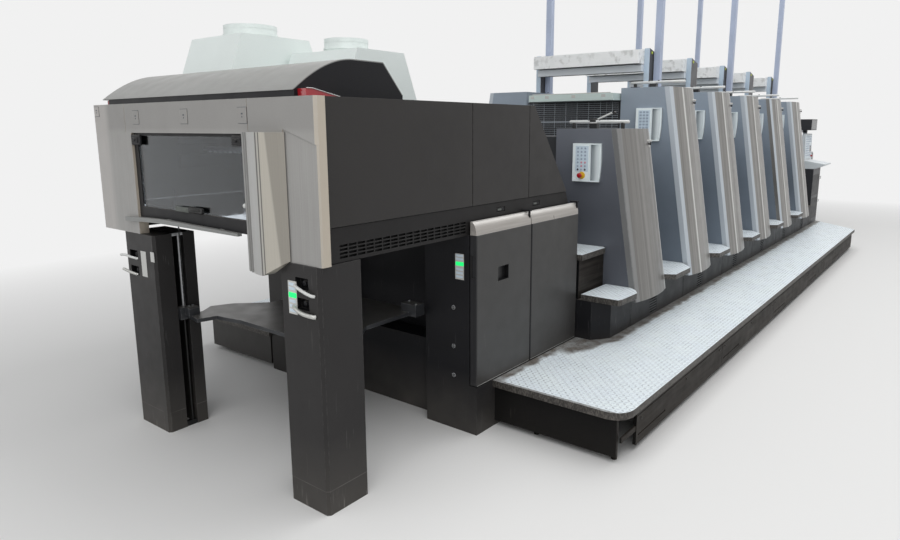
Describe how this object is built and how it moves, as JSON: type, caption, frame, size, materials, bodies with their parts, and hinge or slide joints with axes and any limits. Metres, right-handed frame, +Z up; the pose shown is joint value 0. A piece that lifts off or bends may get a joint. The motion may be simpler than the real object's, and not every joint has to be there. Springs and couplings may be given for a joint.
{
  "type": "offset printing press",
  "caption": "Long sheet-fed offset printing press with a delivery, a row of equal printing units, an operator gallery and a feeder.",
  "frame": {"origin": "middle of the press on the floor, in its centre plane", "axes": "+X along the machine from the delivery to the feeder, +Y towards the drive side, +Z up"},
  "size_m": [11.9503, 3.56, 3.76],
  "materials": {
    "silver": "satin",
    "hood_silver": "satin",
    "brown_panel": "satin",
    "charcoal": "satin",
    "slate": "satin",
    "black": "satin",
    "drive_silver": "satin",
    "pale_panel": "satin",
    "tread_plate": "worn",
    "steel": "satin",
    "glass": "clear",
    "red_lamp": "gloss",
    "off_white": "satin",
    "tray_green": "satin",
    "mast_blue": "satin"
  },
  "bodies": {
    "press": {"leg_operator": "charcoal", "leg_drive": "charcoal", "head_front": "silver", "window_guard": "charcoal", "window_glass": "glass", "window_bar": "steel", "grip_column": "silver", "hood_shell": "hood_silver", "hood_cheeks": "black", "signal_lamps": "red_lamp", "side_panels_operator": "brown_panel", "side_panels_drive": "brown_panel", "vent_band_operator": "charcoal", "vent_band_drive": "charcoal", "delivery_core": "charcoal", "extraction_hoods": "off_white", "column_operator": "charcoal", "cabinet_operator": "charcoal", "cabinet_drive": "charcoal", "delivery_base": "charcoal", "lift_rods": "steel", "unit_bases": "charcoal", "unit_cores": "charcoal", "housing_1": "slate", "housing_2": "slate", "housing_3": "slate", "housing_4": "slate", "housing_5": "slate", "housing_6": "slate", "cover_1": "silver", "cover_2": "silver", "cover_3": "silver", "cover_4": "silver", "cover_5": "silver", "cover_6": "silver", "drive_housings": "slate", "drive_covers": "drive_silver", "control_panels": "pale_panel", "step_treads": "tread_plate", "step_boxes": "black", "gallery_deck": "tread_plate", "gallery_skirts": "black", "drive_gallery": "tread_plate", "guard_meshes": "steel", "guard_trays": "tray_green", "plate_boxes": "off_white", "gear_plates": "mast_blue", "masts": "mast_blue", "top_rods": "steel", "feeder_frame": "charcoal", "feeder_head": "slate", "feeder_table": "steel", "feeder_console": "charcoal"},
    "near_door": {"cabinet_door_near": "brown_panel"},
    "far_door": {"cabinet_door_far": "brown_panel"},
    "lift": {"lift_plate": "charcoal"}
  },
  "joints": [
    {"name": "near_door_hinge", "type": "hinge", "parent": "press", "child": "near_door", "pos_m": [-4.254, -0.915, 0.306], "axis": [0, 0, 1], "range_deg": [0, 90]},
    {"name": "far_door_hinge", "type": "hinge", "parent": "press", "child": "far_door", "pos_m": [-3.635, -0.915, 0.306], "axis": [0, 0, 1], "range_deg": [0, 90]},
    {"name": "pile_lift", "type": "slide", "parent": "press", "child": "lift", "axis": [0, 0, 1], "range_m": [-0.45, 0.42]}
  ]
}
